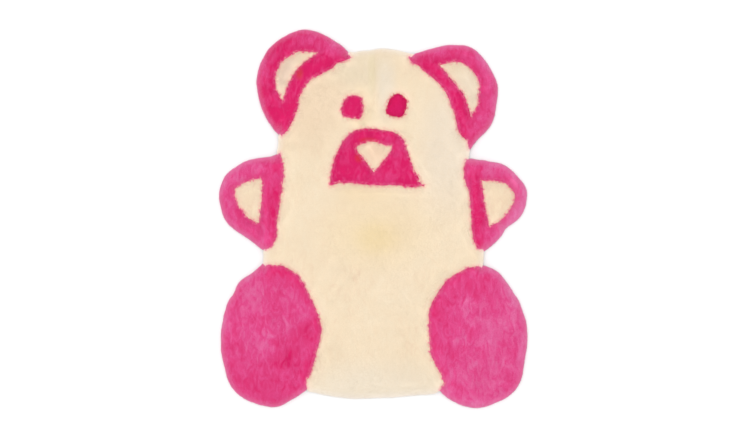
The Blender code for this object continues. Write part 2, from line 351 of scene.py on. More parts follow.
FLEECE_SPOTS = [
    Spot((-0.166, 0.312), (0.150, 0.190), (0.95, 0.765, 0.565)),    # left side of the head
    Spot((-0.030, 0.392), (0.120, 0.080), (0.92, 0.79, 0.60)),      # forehead
    Spot((0.035, 0.340), (0.036, 0.120), (0.95, 0.84, 0.69)),       # right of the backbone line, painted light on the parting's lit side
    Spot((-0.034, 0.286), (0.045, 0.080), (0.97, 0.81, 0.56)),      # round the left eye
    Spot((-0.003, 0.385), (0.016, 0.085), (0.90, 0.775, 0.555)),    # the backbone line, painted shade in the parting
    Spot((-0.020, 0.070), (0.120, 0.055), (0.98, 0.80, 0.56)),      # below the muzzle
    Spot((0.008, -0.040), (0.200, 0.130), (0.98, 0.81, 0.56)),      # chest and belly
    Spot((0.008, -0.050), (0.080, 0.060), (0.97, 0.79, 0.49)),      # their yellow middle
    Spot((0.200, 0.180), (0.120, 0.240), (0.96, 0.84, 0.69)),       # right cheek
    Spot((0.000, -0.460), (0.300, 0.120), (0.95, 0.84, 0.68)),      # between the feet
    Spot((0.007, 0.175), (0.045, 0.045), (0.97, 0.735, 0.55)),      # nose
    Spot((-0.240, 0.390), (0.070, 0.090), (0.88, 0.69, 0.56)),      # left ear's panel
    Spot((0.260, 0.345), (0.070, 0.100), (0.92, 0.79, 0.63)),       # right ear's panel
]
FLUSHES = [
    Spot((-0.036, 0.162), (0.018, 0.020), (0.82, 0.045, 0.045)),    # at the nose's left edge
    Spot((-0.012, 0.207), (0.036, 0.010), (0.80, 0.040, 0.060)),    # above the nose
    Spot((-0.195, 0.384), (0.016, 0.026), (0.78, 0.060, 0.080)),    # left ear, beside its panel
]
print(len(FLEECE_SPOTS), "spots on the cream and", len(FLUSHES), "flushes on the pink")

# %% [markdown]
# ## The finish of the wool
#
# Sheep's wool is matt, with a soft bloom where it is seen along its length. A lock is painted
# darkest at its root and palest at its tip, as painted shade of the depth between the locks. Dye
# doesn't take alike everywhere, so each wool goes paler and deeper in patches as wide as a hand,
# and in flecks a finger wide that are drawn out along the rug. Beside a seam, where the fleece
# dips, the pink is painted deeper as shade and the cream rosier as light reflected from the pink.
# Right on the seam some fibres of each wool lie across the other, which leaves a rosy line on the
# cream. Not quite half way up the rim's side the wool is painted paler, as painted light.
#
# Each wool could have a recipe of its own. Here one recipe serves all three, and only the
# colours differ. It reads values that the locks carry: how near the tip a point is, how near the
# lock is to a seam and to the rim, how deep its colour is, from dye and painted shading, and a
# random number of its own. The underwool below carries no tip, so it takes the colour of the
# roots, painted shade and all, with a fine grain. The bloom is the shader's sheen, the same all
# over.

# %% Mix the wool
PATCH = 80 * MM               # patches of deeper and paler wool are this wide
PATCH_SHARE = 0.52
FLECK = 20 * MM               # and the flecks in them this wide
FLECK_SHARE = 0.48
STREAK = (1.45, 0.70, 1.0)    # flecks are drawn out along the rug
MOTTLE = 1.9                  # how much patches and flecks change the colour's depth
LOCK_DEPTH = 0.06             # and how much it changes from lock to lock
RIM_LIGHT_TOP = (28.5 * MM, 13 * MM)     # coming down the rim, the painted light on its side goes from none to full
RIM_LIGHT_FOOT = (2 * MM, 11 * MM)       # and it does the same coming up from the floor
RIM_LIGHT_REACH = 0.6                # nearness to the rim from which its side is painted lighter
RIM_LIGHT_TINT = 0.9
# how much of the seam colour goes on beside a seam: painted shade on the pinks, painted pink
# reflection on the cream
SEAM_SHADE_AND_BOUNCE = 0.50
LINE_FROM = 0.76              # nearness to a seam at which its line starts
LINE_TINT = 0.66
FIBRES = (30.0, 3.0, 0.0)     # how often fibres change across a lock and along it
OTHER_FIBRES = 40.0           # how far apart two locks' fibres can be in the pattern
GRAIN = 1.4 * MM              # between the locks, tufts of underwool are this wide
GRAIN_TINT = 0.8
FIBRE_HIGH = 0.80 * MM
ROOT_LIGHT = 0.6              # how much of the tips' colour comes down to the roots
ROOT_LIGHT_SEAM = 0.3         # and how much more at a seam
TIP_AT = 0.75                 # from here up, a lock has the colour of its tip
ROUGH = 0.78
ROUGHER = 0.2                 # and this much more where fibres stand high


def dye_depth(board, place, shade):
    """How deep the colour is: as the panel says, with its painted shade and highlight, in patches
    and flecks, and for each lock.
    """
    tone = board.cloud(place, PATCH) * PATCH_SHARE
    tone = tone + board.cloud(place * STREAK, FLECK, detail=1.6, swirl=1.2) * FLECK_SHARE
    depth = board.surface("dye", "Fac") + (0.5 - tone) * MOTTLE
    return depth + (shade - 0.5) * LOCK_DEPTH


def fleece_colour(board, wool, place, depth, spots):
    """The colour of the tips away from seams and rim."""
    top = board.blend(board.climb(depth, 0.0, 0.5), wool.pale, wool.middle)
    top = board.blend(board.climb(depth, 0.5, 1.0), top, wool.deep)
    for spot in spots:
        top = board.blend(board.spot(place, spot.centre, spot.reach), top, spot.colour)
    return top


def tint_edges(board, wool, place, seam, top):
    """The colour of the tips, with painted shade and reflection beside a seam, a line on it, and
    painted light on the rim's side.
    """
    # painted shade beside a seam on the pinks, and a painted pink reflection on the cream
    top = board.blend(seam * SEAM_SHADE_AND_BOUNCE, top, wool.seam)
    top = board.blend(board.ease(seam, LINE_FROM, 1.0) * LINE_TINT, top, wool.line)
    height = place.part("Z")
    # painted light: the rim's side is painted paler partway up, and less so towards the top and
    # the floor
    rim_light = board.climb(height, *RIM_LIGHT_TOP) * board.climb(height, *RIM_LIGHT_FOOT)
    near = board.ease(board.surface("rim", "Fac"), 0.0, RIM_LIGHT_REACH)
    return board.blend(rim_light * near * RIM_LIGHT_TINT, top, wool.edge)


def wool_material(name, wool, spots=()):
    """Matt wool that follows what its locks carry."""
    material, board = new_material(name)
    place = board.add("ShaderNodeTexCoord", None, None, "Object")
    shade = board.surface("shade", "Fac")
    seam = board.surface("seam", "Fac")
    along = board.surface("lock_uv", "Vector") * FIBRES + place * (1 / GRAIN)
    fibre = board.cloud(along + shade * OTHER_FIBRES, 1.0, detail=3.0)
    top = fleece_colour(board, wool, place, dye_depth(board, place, shade), spots)
    top = tint_edges(board, wool, place, seam, top)
    # the roots' darker colour is painted shade of the depth between the locks, lightened at a seam
    light = ROOT_LIGHT + seam * ROOT_LIGHT_SEAM + (fibre - 0.5) * GRAIN_TINT
    low = board.blend(light, wool.root, top)
    tip = board.ease(board.surface("tip", "Fac"), 0.0, TIP_AT)
    bumps = {"Height": fibre, "Distance": FIBRE_HIGH, "Strength": 0.6}
    normal = board.add("ShaderNodeBump", None, bumps)
    finish(board, {"Base Color": board.blend(tip, low, top),
                   "Roughness": ROUGH + fibre * ROUGHER, "Normal": normal,
                   "Specular IOR Level": 0.15, "Sheen Weight": 0.20,
                   "Sheen Roughness": 0.40, "Sheen Tint": wool.bloom})
    return material


WOOLS = {"cream_wool": wool_material("cream_wool", CREAM, FLEECE_SPOTS),
         "pink_wool": wool_material("pink_wool", PINK, FLUSHES),
         "deep_pink_wool": wool_material("deep_pink_wool", DEEP_PINK)}
print("three wools:", *WOOLS)

# %% [markdown]
# ## Which wool a panel has
#
# The record of the part says which slot each panel takes its finish from. Reading it there
# keeps the colours in one place, and saves a list here that could drift from it.

# %% Look up each panel's wool
SLOT_OF = {s["node"]: s["material_slot"] for s in frame["record"]["subparts"]}
for slot in WOOLS:
    print(slot + ":", *[name for name in sorted(PANELS) if SLOT_OF[name] == slot])

# %% [markdown]
# ## Reading the panels
#
# Every panel's solid has three kinds of face. The flat underside is where the hide goes. The
# upright walls against the next panel are seams, and carry nothing. All the rest, the top and
# the rounded rim, is where wool stands. Where a seam comes out at the rim, the wool goes round
# the corner, so the last few faces of a seam's walls count as wool too.
#
# A seam is found by measuring: where a corner of one panel is within about a millimetre of a
# corner of another, the two are sewn together there. The panels' own meshes stay untouched, and
# everything is worked out on copies whose loose triangles are joined first.

# %% Find undersides, seams and wool sides
from mathutils.kdtree import KDTree

JOIN = 0.01 * MM              # corners closer than this are one corner
SEWN_WITHIN = 1.2 * MM        # and corners of two panels closer than this are sewn
SEAM_END = 12 * MM            # this near the rim, the wool covers a seam's walls too
UPRIGHT = 0.3                 # a wall's normal climbs or falls less than this


def joined_copy(name):
    """A panel's mesh as a copy with its loose triangles joined."""
    copy = bmesh.new()
    copy.from_mesh(PANELS[name].data)
    bmesh.ops.remove_doubles(copy, verts=copy.verts, dist=JOIN)
    copy.normal_update()
    return copy


def corners_of_all():
    """Every corner of every panel, in a form that is quick to search, with its owner."""
    owners = []
    places = []
    for name in sorted(PANELS):
        copy = joined_copy(name)
        places += [v.co.copy() for v in copy.verts]
        owners += [name] * len(copy.verts)
        copy.free()
    search = KDTree(len(places))
    for number, place in enumerate(places):
        search.insert(place, number)
    search.balance()
    return search, owners


CORNERS, OWNERS = corners_of_all()


def is_sewn(place, name):
    """Whether another panel has a corner right beside this place."""
    near = CORNERS.find_range(place, SEWN_WITHIN)
    return any(OWNERS[number] != name for _, number, _ in near)


def is_far(place, ends):
    """Whether a place is further than SEAM_END from every end of a seam, seen from above."""
    return all((place.xy - end.xy).length > SEAM_END for end in ends)


def kinds_of_face(copy, name):
    """The panel's faces in three sets: underside, seam walls, and where wool stands."""
    sewn = {v for v in copy.verts if is_sewn(v.co, name)}
    below = {f for f in copy.faces if all(v.co.z < JOIN for v in f.verts)}
    outline = [e for e in copy.edges if sum(f in below for f in e.link_faces) == 1]
    ends = [v.co for e in outline for v in e.verts if v in sewn and e.other_vert(v) not in sewn]
    walls = {f for f in copy.faces if abs(f.normal.z) < UPRIGHT and sewn.issuperset(f.verts)}
    walls = {f for f in walls - below if is_far(f.calc_center_median(), ends)}
    return below, walls, set(copy.faces) - below - walls


def plain_object(name, shape):
    """A new object from a bmesh, at the origin and in the scene."""
    mesh = bpy.data.meshes.new(name)
    shape.to_mesh(mesh)
    shape.free()
    made = bpy.data.objects.new(name, mesh)
    bpy.context.scene.collection.objects.link(made)
    return made


print(len(OWNERS), "corners of", len(PANELS), "panels")

# %% [markdown]
# ## Lines along the seams and the rim
#
# The locks need to know how near a seam or the rim they are, and the stitches follow the seams.
# So the edges of the undersides are copied into two line meshes, one for the seams and one for
# the rim. Both panels at a seam bring their own edge, and joining close corners makes it one.

# %% Draw the seam line and the rim line
def outline_edges(copy, name):
    """The ends of each edge round a panel's underside, and whether it is sewn there."""
    below = kinds_of_face(copy, name)[0]
    for edge in copy.edges:
        if sum(f in below for f in edge.link_faces) == 1:
            ends = [v.co.copy() for v in edge.verts]
            yield ends, all(is_sewn(end, name) for end in ends)


def draw_lines():
    """The seam line and the rim line, as two meshes that have only edges."""
    seams = bmesh.new()
    rims = bmesh.new()
    for name in sorted(PANELS):
        copy = joined_copy(name)
        for ends, sewn in outline_edges(copy, name):
            lines = seams if sewn else rims
            lines.edges.new([lines.verts.new(end) for end in ends])
        copy.free()
    for lines in (seams, rims):
        bmesh.ops.remove_doubles(lines, verts=lines.verts, dist=SEWN_WITHIN)
    lengths = [sum(e.calc_length() for e in lines.edges) for lines in (seams, rims)]
    print("seams of", round(lengths[0], 2), "m and a rim of", round(lengths[1], 2), "m")
    return plain_object("seam_lines", seams), plain_object("rim_lines", rims)


SEAM_LINES, RIM_LINES = draw_lines()

# %% [markdown]
# ## How deep the colour is
#
# A fleece goes into the dye bath whole, and some of it takes more dye than the rest. Undyed wool
# varies as well. The pink arms and feet are also deeper beside the body and paler outside: this is
# partly dye, and partly painted shade beside the body and a painted highlight on the outer sides.
# So every place has a depth, from 0 for the palest wool of a fleece to 1 for its deepest. Each
# panel has a depth of its own, a little over 1 where hardly a pale fleck is wanted, and ovals on
# it add to that or take from it. The depth could be painted by hand on an image. A few ovals are
# enough here, and they can be read and changed.

# %% Say where the colour is deep
More = namedtuple("More", "centre reach depth")
DEPTH_OF = {"body": 0.42, "nose": 0.60, "ear_panel_left": 0.6, "ear_panel_right": 0.6,
            "paw_panel_left": 0.7, "paw_panel_right": 0.65, "ear_left": 0.94,
            "ear_right": 0.66, "arm_left": 0.58, "arm_right": 0.46, "foot_left": 0.60,
            "foot_right": 0.52, "muzzle": 0.98, "eye_left": 1.1, "eye_right": 0.8}
# ovals beside the body are partly painted shade, and those on the outer sides partly a painted
# highlight
DYE_AND_SHADING_OVALS = {
    "ear_left": [More((-0.155, 0.460), (0.070, 0.040), -0.25),      # top
                 More((-0.103, 0.444), (0.036, 0.032), -0.45),      # end on the head
                 More((-0.218, 0.286), (0.050, 0.070), 0.20),       # lower end
                 More((-0.285, 0.370), (0.030, 0.080), -0.15)],     # outer side
    "ear_right": [More((0.166, 0.386), (0.090, 0.070), 0.40),       # beside the head
                  More((0.235, 0.290), (0.045, 0.090), 0.30),       # lower end
                  More((0.285, 0.425), (0.080, 0.045), -0.25),      # outer top
                  More((0.310, 0.330), (0.035, 0.100), -0.10)],     # outer side
    "arm_left": [More((-0.258, 0.062), (0.040, 0.160), 0.30),       # beside the body
                 More((-0.355, 0.107), (0.090, 0.090), -0.20)],     # outer upper side
    "arm_right": [More((0.273, 0.030), (0.036, 0.170), 0.80),       # beside the body
                  More((0.345, 0.110), (0.100, 0.070), -0.15),      # upper side
                  More((0.375, 0.020), (0.060, 0.130), -0.35)],     # outer side
    "foot_left": [More((-0.310, -0.262), (0.120, 0.150), -0.25),    # upper outer part
                  More((-0.240, -0.450), (0.140, 0.110), 0.15),     # lower end
                  More((-0.176, -0.330), (0.060, 0.200), 0.12)],    # beside the body
    "foot_right": [More((0.240, -0.160), (0.090, 0.070), 0.20),     # upper end
                   More((0.184, -0.265), (0.050, 0.180), 0.22),     # beside the body
                   More((0.305, -0.360), (0.130, 0.120), -0.18),    # middle
                   More((0.365, -0.200), (0.055, 0.140), -0.35)],   # upper outer side
    "muzzle": [More((0.058, 0.190), (0.050, 0.070), -0.25)],        # right of the nose
}


def depth_at(place, name):
    """How deep the colour of a panel's wool is at a place."""
    depth = DEPTH_OF[name]
    for more in DYE_AND_SHADING_OVALS.get(name, ()):
        across = (place.x - more.centre[0]) / more.reach[0]
        along = (place.y - more.centre[1]) / more.reach[1]
        depth += more.depth * max(1 - across * across - along * along, 0.0) ** 2
    return depth


def take_dye(shape, name):
    """Write the depth of the colour on every corner of a shape."""
    dye = shape.verts.layers.float.new("dye")
    for corner in shape.verts:
        corner[dye] = depth_at(corner.co, name)


print(sum(len(ovals) for ovals in DYE_AND_SHADING_OVALS.values()), "ovals of deeper or paler wool")

# %% [markdown]
# ## Which way the wool lies
#
# Wool stands up off the hide and falls a little towards the tail. It swirls gently, because a
# fleece is never combed straight, and at the rim it hangs down. Down the middle of the head runs
# the sheep's backbone line, where the wool parts to both sides.
#
# Every lock could be turned by hand or by a brush. Instead each corner of the skin gets two
# directions: the way its locks point, and the way the fleece faces there, which the shading
# uses. The locks between the corners follow both. Smooth noise makes the swirls. It would come
# out different each time, so it is given a seed.

# %% Comb the wool
from math import exp

from mathutils import Vector, noise

SWIRL = 0.34                  # how far the wool leans with the swirls
FALL = 0.16                   # and how far towards the tail
SWIRL_SIZE = 120 * MM
SWIRL_SEED = 5                # the same swirls each time
COMBED = 2.2                  # a lock leans this much more than the fleece seems to face
DROOP = 0.55                  # and hangs down this much at the rim
PARTING_X = 6 * MM            # the backbone line of the head
PARTING_Y = (285 * MM, 450 * MM)
PARTING_LEAN = 0.40
PARTING_WIDE = 22 * MM


def parting(place):
    """How strongly the wool parts here, negative to the left and positive to the right."""
    across = (place.x - PARTING_X) / PARTING_WIDE
    ends = min((place.y - PARTING_Y[0]), (PARTING_Y[1] - place.y)) / PARTING_WIDE
    fade = min(max(ends, 0.0), 1.0)
    return 2 * across * fade * exp(-across * across)


def lean_of_wool(place):
    """How far the wool leans to the right and towards the ears at a place."""
    swirl = noise.noise_vector(place / SWIRL_SIZE)
    return Vector((swirl.x * SWIRL + parting(place) * PARTING_LEAN,
                   swirl.y * SWIRL - FALL, 0))


def comb(skin):
    """Write on every corner which way its locks point, and which way its fleece faces."""
    lie = skin.verts.layers.float_vector.new("lie")
    facing = skin.verts.layers.float_vector.new("facing")
    for corner in skin.verts:
        lean = lean_of_wool(corner.co)
        along = lean * COMBED - Vector((0, 0, DROOP))
        along -= corner.normal * along.dot(corner.normal)
        corner[lie] = (corner.normal + along).normalized()
        corner[facing] = (corner.normal + lean).normalized()


print("a parting", round(PARTING_Y[1] - PARTING_Y[0], 3), "m long, and swirls of", SWIRL_SIZE, "m")

# %% [markdown]
# ## The skin that wool grows on
#
# A real hide lies at the bottom, and the wool on it stands about three centimetres high. Locks
# as long as that could be planted on the hide, but only their outer quarter would show. So they
# are set on the surface where the wool ends, with their roots reaching a few millimetres down
# into it, and nothing is spent on what can't be seen.
#
# Wool also reaches past its hide. Round the rim it stands out a few millimetres, in gentle
# waves. At a seam the wools of both panels lap over it and close it, the dyed wool a little
# further. The corners of the panels' rims are drawn towards their neighbours first, because
# wool rounds off what scissors cut.

# %% Cut out the skins
SKIN_STEP = 12 * MM           # edges of the skin longer than this are split
SPLITS = 2
SMOOTHINGS = 4
LEVEL = 0.97                  # where the skin is at least this level, it is smoothed
STEEP = 0.85                  # and where it is less level than this, it is the rim's side
RIM_PASSES = 5
RIM_LEVEL = 4 * MM            # points of one line of the rim are about as high as each other
RIM_CALM = 0.5                # how far each pass draws the rim towards its own middle
RIM_FLUFF = 3.6 * MM          # wool stands out this far past the hide's edge
RIM_WAVE = 1.5 * MM           # and now and then this much more or less
RIM_WAVE_LONG = 22 * MM
LAPS = {"pink": 1.3 * MM, "cream": 0.5 * MM}    # how far wool reaches over a seam


def lap_seams(name, shape, walls):
    """Both wools reach over a seam and close it, and the dyed wool reaches further."""
    lap = LAPS["pink" if "pink" in SLOT_OF[name] else "cream"]
    outward = {}
    for wall in [f for f in shape.faces if f in walls]:
        for corner in wall.verts:
            outward[corner] = outward.get(corner, Vector()) + wall.normal
    for corner, way in outward.items():
        corner.co.xy += way.xy.normalized() * lap


def wool_way(corner, woolly):
    """The way the wool side faces at a corner."""
    sides = [f.normal * f.calc_area() for f in corner.link_faces if f in woolly]
    return sum(sides, Vector()).normalized()


def beside_on_rim(corner, ring, woolly):
    """Where a corner's neighbours on the same line of the rim are."""
    edges = [e for e in corner.link_edges if woolly.intersection(e.link_faces)]
    others = [e.other_vert(corner) for e in edges]
    return [other.co for other in others
            if other in ring and abs(other.co.z - corner.co.z) < RIM_LEVEL]


def even_out(shape, woolly):
    """Calm the ins and outs of the rim, and let its wool stand out past the hide."""
    corners = {v for f in woolly for v in f.verts}
    steep = {f for f in woolly if abs(f.normal.z) < STEEP}
    widest = {v for v in corners if v.co.z > JOIN
              and steep.issuperset(f for f in v.link_faces if f in woolly)}
    bottom = {v for v in corners if v.co.z < JOIN}
    for _ in range(RIM_PASSES):
        moves = {}
        for ring in (widest, bottom):
            for corner in ring:
                beside = beside_on_rim(corner, ring, woolly)
                if len(beside) == 2:
                    middle = (beside[0] + beside[1]) / 2
                    moves[corner] = corner.co.lerp(middle, RIM_CALM)
        for corner, place in moves.items():
            corner.co.xy = place.xy
    shape.normal_update()
    ways = {corner: wool_way(corner, woolly).xy.normalized() for corner in widest | bottom}
    for corner, way in ways.items():
        wave = noise.noise(corner.co / RIM_WAVE_LONG) * RIM_WAVE
        corner.co.xy += way * (RIM_FLUFF + wave)
    shape.normal_update()


def wool_skin(name):
    """The top and rim of a panel, finely divided, with its wool's way at each corner."""
    skin = joined_copy(name)
    _, walls, woolly = kinds_of_face(skin, name)
    lap_seams(name, skin, walls)
    even_out(skin, woolly)
    bare = [f for f in skin.faces if f not in woolly]
    bmesh.ops.delete(skin, geom=bare, context="FACES")
    for _ in range(SPLITS):
        long = [e for e in skin.edges if e.calc_length() > SKIN_STEP]
        bmesh.ops.subdivide_edges(skin, edges=long, cuts=1)
        bmesh.ops.triangulate(skin, faces=skin.faces)
    skin.normal_update()
    inner = [v for v in skin.verts if v.normal.z > LEVEL and not v.is_boundary]
    for _ in range(SMOOTHINGS):
        bmesh.ops.smooth_vert(skin, verts=inner, factor=0.5, use_axis_z=True)
    skin.normal_update()
    comb(skin)
    take_dye(skin, name)
    return plain_object(name + "_skin", skin)


noise.seed_set(SWIRL_SEED)
SKINS = {name: wool_skin(name) for name in sorted(PANELS)}
print("skins of", sum(len(skin.data.polygons) for skin in SKINS.values()), "faces")

# %% [markdown]
# ## One lock of wool
#
# A lock is a bunch of crimped fibres that cling together and end in a soft point. It could be
# made of single hairs, but a rug has millions of them. A three-sided spindle, pointed at both
# ends and widest near its tip, has six triangles and reads as a lock even close by. Four shapes,
# turned and sized at random, are enough that the eye finds no repeat.
#
# Each lock has a map of its own for patterns, `lock_uv`: its three sides stand beside each
# other with the root at the bottom. `tip` says how far up the lock a point is.

# %% Shape four locks
from math import cos, pi, sin

Lock = namedtuple("Lock", "belly belly_at tip lean")
LOCKS = [                     # in millimetres, and heights from the wool's surface
    Lock(belly=1.65, belly_at=-0.8, tip=1.6, lean=0.6),
    Lock(belly=1.80, belly_at=-0.7, tip=1.2, lean=1.0),
    Lock(belly=1.55, belly_at=-1.0, tip=2.0, lean=0.8),
    Lock(belly=1.85, belly_at=-0.8, tip=1.3, lean=0.2),
]
LOCK_FOOT = -6.0              # millimetres below the wool's surface
BELLY_SHARE = 0.62            # how far up the lock its belly counts as
SIDES = 3
EDGE = 0.06                   # a bare strip round each side's part of the map


def draw_face(shape, flat, corners, places):
    """A face, with the place of each corner on the lock's map."""
    face = shape.faces.new(corners)
    face.smooth = True
    for loop, place in zip(face.loops, places):
        loop[flat].uv = place


def lock_shape(number, lock):
    """One lock: a pointed foot, a belly, and a point that leans over."""
    shape = bmesh.new()
    tip_of = shape.verts.layers.float.new("tip")
    turn = 2 * pi / SIDES
    foot = shape.verts.new((0, 0, LOCK_FOOT))
    ring = [shape.verts.new((lock.belly * cos(turn * i), lock.belly * sin(turn * i),
                             lock.belly_at)) for i in range(SIDES)]
    point = shape.verts.new((lock.lean, 0, lock.tip))
    for corner in ring:
        corner[tip_of] = BELLY_SHARE
    point[tip_of] = 1.0
    flat = shape.loops.layers.uv.new("lock_uv")
    for i in range(SIDES):
        left, right = ring[i], ring[(i + 1) % SIDES]
        start, end = (i + EDGE) / SIDES, (i + 1 - EDGE) / SIDES
        across = (start + end) / 2
        draw_face(shape, flat, [foot, right, left],
                  [(across, EDGE), (end, BELLY_SHARE), (start, BELLY_SHARE)])
        draw_face(shape, flat, [left, right, point],
                  [(start, BELLY_SHARE), (end, BELLY_SHARE), (across, 1 - EDGE)])
    bmesh.ops.scale(shape, verts=shape.verts, vec=(MM, MM, MM))
    return plain_object("lock_" + str(number), shape)


def lock_box():
    """The four locks in a collection of their own, out of the scene."""
    box = bpy.data.collections.new("locks")
    for number, lock in enumerate(LOCKS):
        made = lock_shape(number, lock)
        box.objects.link(made)
        bpy.context.scene.collection.objects.unlink(made)
    return box


LOCK_BOX = lock_box()

# %% [markdown]
# ## What the planting tree is told
#
# Wool grows everywhere by the same rule, so it is planted by Geometry Nodes rather than lock by
# lock in Python, which would take minutes. The tree has a named input for each size and choice,
# such as how far apart roots are and how far locks stray. One tree then serves every panel, and
# its inputs can be changed by hand in Blender as well.
#
# Four small helpers add the nodes that come again and again.

# %% Name the tree's inputs
HIDE_TOP = 2.4 * MM           # the upper side of the hides
WHOLE = (-10.0, 10.0)         # metres, the x between which all of a panel lies

Input = namedtuple("Input", "name kind value", defaults=(None,))
WOOL_INPUTS = [
    Input("Skin", "NodeSocketGeometry"),
    Input("Spacing", "NodeSocketFloat", 1.56 * MM),
    Input("Smallest", "NodeSocketFloat", 0.78),
    Input("Largest", "NodeSocketFloat", 1.08),
    Input("Stray", "NodeSocketFloat", 0.30),
    Input("From x", "NodeSocketFloat", WHOLE[0]),
    Input("To x", "NodeSocketFloat", WHOLE[1]),
    Input("Floor", "NodeSocketFloat", 0.1 * MM),
    Input("Hide", "NodeSocketFloat", HIDE_TOP),
    Input("Softness", "NodeSocketFloat", 0.90),
    Input("Proud", "NodeSocketFloat", 0.0),
    Input("Seed", "NodeSocketInt", 0),
    Input("Locks", "NodeSocketCollection"),
    Input("Seams", "NodeSocketObject"),
    Input("Rim", "NodeSocketObject"),
    Input("Wool", "NodeSocketMaterial"),
]


def new_tree(name, inputs):
    """An empty Geometry Nodes tree with named inputs, its board, and a wire for each."""
    tree = bpy.data.node_groups.new(name, "GeometryNodeTree")
    for wanted in inputs:
        socket = tree.interface.new_socket(wanted.name, in_out="INPUT",
                                           socket_type=wanted.kind)
        if wanted.value is not None:
            socket.default_value = wanted.value
    tree.interface.new_socket("Made", in_out="OUTPUT", socket_type="NodeSocketGeometry")
    board = Board(tree)
    first = board.add("NodeGroupInput")
    return tree, board, {wanted.name: first.other(wanted.name) for wanted in inputs}


def store(board, shape, name, kind, domain, value):
    """Keep a value on the shape, under a name that later nodes and materials can read."""
    settings = {"data_type": kind, "domain": domain}
    sockets = {"Geometry": shape, "Name": name, "Value": value}
    return board.add("GeometryNodeStoreNamedAttribute", settings, sockets)


def kept(board, name, kind):
    """A value that was stored on the shape before."""
    sockets = {"Name": name}
    return board.add("GeometryNodeInputNamedAttribute", {"data_type": kind}, sockets,
                     "Attribute")


def chance(board, low, high, seed, kind="FLOAT"):
    """A random number, or three of them, for each point."""
    sockets = {"Min": low, "Max": high, "Seed": seed}
    return board.add("FunctionNodeRandomValue", {"data_type": kind}, sockets, "Value")


print("the tree has", len(WOOL_INPUTS), "inputs")

# %% [markdown]
# ## Where the locks stand
#
# Points are strewn over a skin so that no two are closer than the spacing, as roots are. Each
# is labelled for the colours: how near it is to a seam and to the rim, and a random shade.
#
# Along a seam the locks of both panels push into each other in small tongues, which gives the
# ragged colour edge of pieced fur. Each panel's locks could be pushed by themselves, but then
# they would meet in gaps and heaps. Here it is one random push in space, so where pink goes
# forward cream gives way. It fades towards the rim, to keep the rug's outline even.
#
# The fleece dips at a seam. So a lock is lifted out of the dip where it stands, pushed along,
# and let down again into the dip where it ends up. Dyed wool stays a little higher there, which
# leaves its edge lying over the cream.

# %% Strew the roots
MOST_LOCKS = 750000           # per square metre, before the spacing thins them out
SEAM_REACH = 26 * MM          # the seam's effect on colour ends here
RIM_REACH = 30 * MM
TONGUE_SIZE = 8 * MM          # width of the tongues along a seam
TONGUE_PUSH = 9 * MM
TONGUE_REACH = 16 * MM
DIP = 2.6 * MM                # the fleece dips this much at a seam
DIP_REACH = 16 * MM
PROUD = 0.6 * MM              # dyed wool stands this much over the cream along a seam
PROUD_REACH = 7 * MM
# each kind of draw adds its own number to the panel's seed
SHADE_DRAW, STRAY_DRAW, SPIN_DRAW, SHAPE_DRAW, SIZE_DRAW = range(1, 6)


def strew_roots(board, given, place):
    """Points on the skin, as far apart as wanted, and none outside the wanted strip."""
    strewn = {"Mesh": given["Skin"], "Distance Min": given["Spacing"],
              "Density Max": MOST_LOCKS, "Seed": given["Seed"]}
    roots = board.add("GeometryNodeDistributePointsOnFaces",
                      {"distribute_method": "POISSON"}, strewn)
    across = place.part("X")
    outside = across.sum("LESS_THAN", across, given["From x"])
    outside = outside + across.sum("GREATER_THAN", across, given["To x"])
    return board.add("GeometryNodeDeleteGeometry", {"domain": "POINT"},
                     {"Geometry": roots, "Selection": outside})


def distance_to(board, lines, place):
    """How far a place is from the nearest point of some lines, seen from above."""
    shape = board.add("GeometryNodeObjectInfo", None, {"Object": lines}, "Geometry")
    sockets = {"Target": shape, "Source Position": place * (1.0, 1.0, 0.0)}
    return board.add("GeometryNodeProximity", {"target_element": "EDGES"}, sockets,
                     "Distance")


def push_at_seams(board, given, roots, place):
    """Label the roots for their colours, and push those at a seam into tongues."""
    to_seam = distance_to(board, given["Seams"], place)
    to_rim = distance_to(board, given["Rim"], place)
    labels = {"seam": board.ease(to_seam, SEAM_REACH, 0),
              "rim": board.ease(to_rim, RIM_REACH, 0),
              "shade": chance(board, 0.0, 1.0, given["Seed"] + SHADE_DRAW)}
    for name, value in labels.items():
        roots = store(board, roots, name, "FLOAT", "POINT", value)
    tongue = board.cloud(place, TONGUE_SIZE, detail=1.0).other("Color")
    tongue = board.add("ShaderNodeVectorMath", {"operation": "SUBTRACT"},
                       {0: tongue, 1: 0.5}) * (TONGUE_PUSH * 2, TONGUE_PUSH * 2, 0.0)
    push = board.ease(to_seam, TONGUE_REACH, 0) * board.ease(to_rim, 0, TONGUE_REACH)
    dip = board.ease(to_seam, DIP_REACH, 0) * DIP
    proud = board.ease(to_seam, PROUD_REACH, 0) * given["Proud"]
    for shift, rise in ((tongue * push, dip + proud), (0.0, 0 - dip)):
        lift = board.add("ShaderNodeCombineXYZ", None, {"Z": rise})
        roots = board.add("GeometryNodeSetPosition", None,
                          {"Geometry": roots, "Offset": lift + shift})
    return roots


print("tongues", TONGUE_SIZE, "m wide push up to", TONGUE_PUSH, "m over a seam")

# %% [markdown]
# ## How the locks stand
#
# On each root stands one of the four locks. It points where the skin was combed to, strays a
# little, and is turned and sized at random, because no two locks of a fleece are alike. Each
# kind of draw has a seed of its own, so that big locks don't all lean the same way.
#
# Each lock also gets its own small square on one shared map. A pattern could be laid on the
# wool from above, but it would be stretched down the locks' sides. On a square of its own, a
# lock can carry its colours from root to tip.

